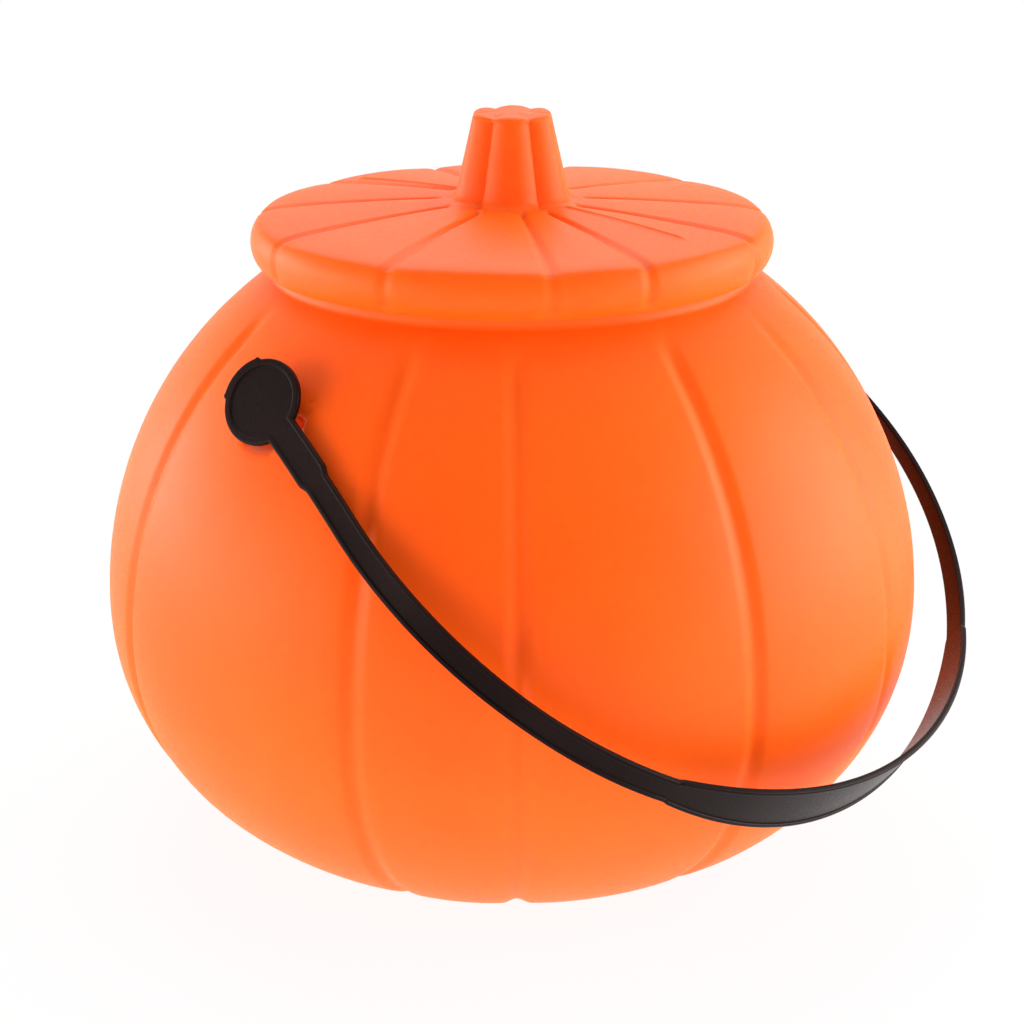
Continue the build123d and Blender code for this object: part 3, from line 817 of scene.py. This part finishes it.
def makeLid(lid):
    mesh = turnedMesh("lid", lidRows(lid), lidColumns(lid), lid, orangePlastic)
    shadeByAngle(mesh, lid["sharpAngle"])
    return newObject("lid_shell", mesh)


lidPiece = makeLid(pailLid)
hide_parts("lid")
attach(lidPiece, "lid")
print("lid:", len(lidPiece.data.polygons), "faces")


# strap handle: a channel strap carried along its bow, then the buttons and pegs

def legFrame(along, strap):
    # place, face, across and down on the +X half of the strap, at a length counted from the button
    turn, bow, start = math.pi / 2 + pivot["lean"], strap["bowRadius"], pivot["startHang"]
    if along <= pivot["legLength"]:
        reach = strap["buttonReach"] + along * math.sin(pivot["lean"])
        run = along * math.cos(pivot["lean"])
    else:
        turn -= (along - pivot["legLength"]) / bow
        reach = bow * math.sin(turn)
        run = pivot["bowDrop"] + bow * math.cos(turn)
    straight = min(run, pivot["bendStart"])
    hang = start + pivot["bend"] * (run - straight)
    forward = straight * math.cos(start) + (math.sin(hang) - math.sin(start)) / pivot["bend"]
    fall = straight * math.sin(start) + (math.cos(start) - math.cos(hang)) / pivot["bend"]
    place = Vector((reach, -forward, strap["pivotHeight"] - fall)) * mm
    outward, onward = Vector((1, 0, 0)), Vector((0, -math.cos(hang), -math.sin(hang)))
    down = outward * -math.cos(turn) + onward * math.sin(turn)
    bowFace = outward * math.sin(turn) + onward * math.cos(turn)
    face = pivot["normal"].lerp(bowFace, ramp(along, strap["plateLength"], strap["twistLength"]))
    face = (face - down * face.dot(down)).normalized()
    over = math.radians(strap["faceTurn"]) * ramp(along, strap["plateLength"], strap["faceTurnEnd"])
    face = face * math.cos(over) + down.cross(face) * math.sin(over)
    return place, face, down.cross(face), down


def strapLoops(strap):
    # (rise over the middle, inset on the strap, inset on the button), from the back to the channel
    half = strap["thickness"] / 2
    floor = half - strap["channelDepth"]
    edge, rib, soft = strap["edgeRound"], strap["ribRound"], strap["roundShare"]
    outer = [(-half, edge), (soft * edge - half, soft * edge), (edge - half, 0),
             (half - edge, 0), (half - soft * edge, soft * edge), (half, edge)]
    inner = [(half, -rib), (half - soft * rib, -soft * rib), (half - rib, 0),
             (floor + soft * rib, strap["ribFoot"]), (floor, rib)]
    loops = [(rise, inset, inset) for rise, inset in outer]
    loops += [(rise, strap["edgeRib"] + inset, strap["buttonRim"] + inset) for rise, inset in inner]
    return loops


def strapWidths(strap):
    # (length along the strap, width) from the button's plate to the middle: neck, strap, step and grip
    plate, neck, step = strap["plateLength"], strap["neckLength"], strap["rowStep"]
    neckEnd, grip, middle = neck + strap["neckTaper"], pivot["gripStart"], pivot["middle"]
    leaf = grip + strap["gripStep"]
    neckWidth, width, endWidth, gripEnd = (strap[key] for key in (
        "neckWidth", "strapWidth", "strapEndWidth", "gripEndWidth"))
    rows = [(along, neckWidth) for along in spaced(plate, neck, round((neck - plate) / step))[:-1]]
    rows += [(along, blend(along, neck, neckEnd, neckWidth, width))
             for along in spaced(neck, neckEnd, strap["taperRows"])]
    rows += [(along, blend(along, grip - strap["strapGrowth"], grip, width, endWidth))
             for along in spaced(neckEnd, grip, round((grip - neckEnd) / step))[1:]]
    rows += [(along, blend(along, grip, leaf, endWidth, gripEnd))
             for along in spaced(grip, leaf, strap["stepRows"])[1:]]
    # the grip is a leaf, widest at the middle of the strap
    for share in spaced(0, 1, round((middle - grip) / step))[1:]:
        grown = (strap["gripWidth"] - gripEnd) * (1 - (1 - share) ** strap["gripFullness"])
        rows.append((leaf + (middle - leaf) * share, gripEnd + grown))
    return rows


def gateRise(turn, strap):
    # the moulding gate stands out of the button's rim between two ears
    first, last = strap["earTurns"]
    reach = strap["earHalf"]
    ears = sum(ramp(reach - abs(turn - ear), 0, reach) for ear in (first, last))
    return max(strap["earHeight"] * ears, strap["gateHeight"] if first < turn < last else 0)


def buttonLoop(strap, rise, strapInset, buttonInset):
    # from one side of the neck round the button to the other side
    origin, face, across, down = legFrame(0, strap)
    radius, half = strap["buttonRadius"] - buttonInset, strap["neckWidth"] / 2 - strapInset
    onEdge = buttonInset < strap["edgeRib"] / 2
    meet = math.asin(half / radius)
    points = [(half, strap["plateLength"])]
    for turn in spaced(meet, fullTurn - meet, strap["buttonSteps"]):
        grown = radius + (gateRise(math.degrees(turn), strap) if onEdge else 0)
        points.append((grown * math.sin(turn), grown * math.cos(turn)))
    points.append((-half, strap["plateLength"]))
    return [origin + (face * rise + across * w + down * d) * mm for w, d in points]


def strapRing(along, width, loops, strap):
    # round the section of the strap, down one side and back up the other
    origin, face, across, _ = legFrame(along, strap)
    sides = [(rise, width / 2 - inset) for rise, inset, _ in loops]
    sides += [(rise, -offset) for rise, offset in sides[::-1]]
    return [origin + (face * rise + across * offset) * mm for rise, offset in sides]


def makeStrapTube(strap):
    loops = strapLoops(strap)
    rings = [strapRing(along, width, loops, strap) for along, width in strapWidths(strap)]
    plate = [buttonLoop(strap, *loop) for loop in loops]
    shape = bmesh.new()

    def added(points, side):
        return [shape.verts.new((side * x, y, z)) for x, y, z in points]

    def joined(chains, closed):
        for first, second in zip(chains, chains[1:]):
            for k in range(0 if closed else 1, len(first)):
                shape.faces.new((first[k - 1], first[k], second[k], second[k - 1]))

    for side in (1, -1):
        joined([added(ring, side) for ring in rings], True)
        rounds = [added(loop, side) for loop in plate]
        joined(rounds, False)
        shape.faces.new(rounds[0])
        shape.faces.new(rounds[-1])
    bmesh.ops.remove_doubles(shape, verts=shape.verts, dist=strap["weld"] * mm)
    return newObject("strap_handle", writeMesh(shape, bpy.data.meshes.new("strap")))


def makePegs(strap):
    head, chamfer, stem, reach = (strap[key] for key in (
        "pegHeadRadius", "pegHeadChamfer", "pegRadius", "buttonReach"))
    headEnd = pivot["headSeat"] - strap["pegHeadGap"]
    start = headEnd - strap["pegHeadLength"]
    pegs = turnedAboutPivot("peg", [
        (start, 0), (start, head - chamfer), (start + chamfer, head), (headEnd, head), (headEnd, stem),
        (reach, stem), (reach, 0)], strap["toolSegments"]["peg"])
    # the outer end is slanted into the button's plane
    normal = pivot["normal"]
    for vertex in pegs.data.vertices:
        if abs(vertex.co.x) > (headEnd + reach) / 2 * mm:
            rise = vertex.co.z - strap["pivotHeight"] * mm
            slant = (normal.y * vertex.co.y + normal.z * rise) / normal.x
            vertex.co.x -= math.copysign(slant, vertex.co.x)
    return pegs


def makeStrap(strap):
    piece = makeStrapTube(strap)
    pegs = makePegs(strap)
    combine(piece, pegs, "UNION")
    dropObjects(pegs)
    dress(piece, blackPlastic, strap["sharpAngle"])
    return piece


strapPiece = makeStrap(strapHandle)
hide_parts("handle_strap")
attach(strapPiece, "handle")
print("strap handle:", len(strapPiece.data.polygons), "faces")


# studio: pale floor, white surround, soft lamps and the camera of the picture, in metres and degrees
studio = {
    "floorColour": (0.8, 0.8, 0.8, 1), "floorRoughness": 0.9, "floorSide": 6.0, "floorDrop": 0.0005,
    "paperShare": 0.92, "paperGlow": 2.5, "shadowFade": (0.12, 0.45), "worldStrength": 0.46,
    "lampAim": (0, 0, 0.09),
    # azimuth, elevation, distance, size and power
    "lamps": {
        "leftWall": (-138.0, 6.0, 1.1, (1.9, 0.44), 15.5),
        "rightWall": (40.0, 8.0, 1.1, (1.2, 1.0), 24.0),
        "ceiling": (132.0, 58.0, 1.2, (1.4, 1.2), 16.0),
    },
}
view = {
    "azimuth": -48.0, "elevation": 20.0, "distance": 0.600, "aim": (0, 0, 0.0826),
    "focalPixels": 2181.6, "picturePixels": 1024, "sensorWidth": 36.0, "clipStart": 0.01,
}
white = (1, 1, 1, 1)


def backgroundRays(tree):
    # 1 for the rays that see the background: the camera's own and those off gloss or through glass
    path = addNode(tree, "ShaderNodeLightPath")
    glossy = mathNode(tree, "MAXIMUM", outOf(path, "Is Camera Ray"), outOf(path, "Is Glossy Ray"))
    return mathNode(tree, "MAXIMUM", glossy, outOf(path, "Is Transmission Ray"))


def paleFloor(s):
    # the camera sees mostly paper white with a share of the real floor, which keeps the shadow
    material = bpy.data.materials.new("paleFloor")
    material.use_nodes = True
    tree = material.node_tree
    shader = tree.nodes["Principled BSDF"]
    shader.inputs["Base Color"].default_value = s["floorColour"]
    shader.inputs["Roughness"].default_value = s["floorRoughness"]
    shader.inputs["Specular IOR Level"].default_value = 0.0
    level = addNode(tree, "ShaderNodeMapRange", {
        "Value": backgroundRays(tree), "To Min": s["paperGlow"], "To Max": 1.0})
    paper = addNode(tree, "ShaderNodeEmission", {"Color": white, "Strength": outOf(level)})
    place = outOf(addNode(tree, "ShaderNodeTexCoord"), "Object")
    away = addNode(tree, "ShaderNodeVectorMath", {0: place}, operation="LENGTH")
    near, far = s["shadowFade"]
    share = addNode(tree, "ShaderNodeMapRange", {
        "Value": outOf(away, "Value"), "From Min": near, "From Max": far,
        "To Min": s["paperShare"], "To Max": 1.0})
    both = addNode(tree, "ShaderNodeMixShader", {0: outOf(share), 1: outOf(shader), 2: outOf(paper)})
    tree.links.new(outOf(both), tree.nodes["Material Output"].inputs["Surface"])
    side = s["floorSide"]
    corners = [(-side, -side, 0), (side, -side, 0), (side, side, 0), (-side, side, 0)]
    mesh = bpy.data.meshes.new("floor")
    mesh.from_pydata(corners, [], [(0, 1, 2, 3)])
    mesh.materials.append(material)
    floor = newObject("floor", mesh)
    floor.location = (0, 0, -s["floorDrop"])


def whiteWorld(strength):
    world = bpy.data.worlds.new("studio")
    world.use_nodes = True
    scene.world = world
    tree = world.node_tree
    back = tree.nodes["Background"]
    level = addNode(tree, "ShaderNodeMix", {0: backgroundRays(tree), "A": strength, "B": 1.0},
                    data_type="FLOAT")
    back.inputs["Color"].default_value = white
    tree.links.new(outOf(level, "Result"), back.inputs["Strength"])


def towards(azimuth, elevation):
    # unit vector from the pail to a lamp or the camera, the azimuth counted from the front
    a, e = math.radians(azimuth), math.radians(elevation)
    return Vector((math.sin(a) * math.cos(e), -math.cos(a) * math.cos(e), math.sin(e)))


def softLamp(name, azimuth, elevation, distance, size, power):
    data = bpy.data.lights.new(name, "AREA")
    data.shape = "RECTANGLE"
    data.size, data.size_y = size
    data.energy = power
    lamp = newObject(name, data)
    back = towards(azimuth, elevation)
    lamp.location = Vector(studio["lampAim"]) + back * distance
    lamp.rotation_euler = (-back).to_track_quat("-Z", "Y").to_euler()


def makeCamera(v):
    data = bpy.data.cameras.new("camera")
    data.sensor_width = v["sensorWidth"]
    data.lens = v["sensorWidth"] * v["focalPixels"] / v["picturePixels"]
    data.clip_start = v["clipStart"]
    camera = newObject("camera", data)
    back = towards(v["azimuth"], v["elevation"])
    camera.location = Vector(v["aim"]) + back * v["distance"]
    camera.rotation_mode = "QUATERNION"
    camera.rotation_quaternion = (-back).to_track_quat("-Z", "Y")
    scene.camera = camera


paleFloor(studio)
whiteWorld(studio["worldStrength"])
for lampName, lampPlace in studio["lamps"].items():
    softLamp(lampName, *lampPlace)
makeCamera(view)
print("studio set")
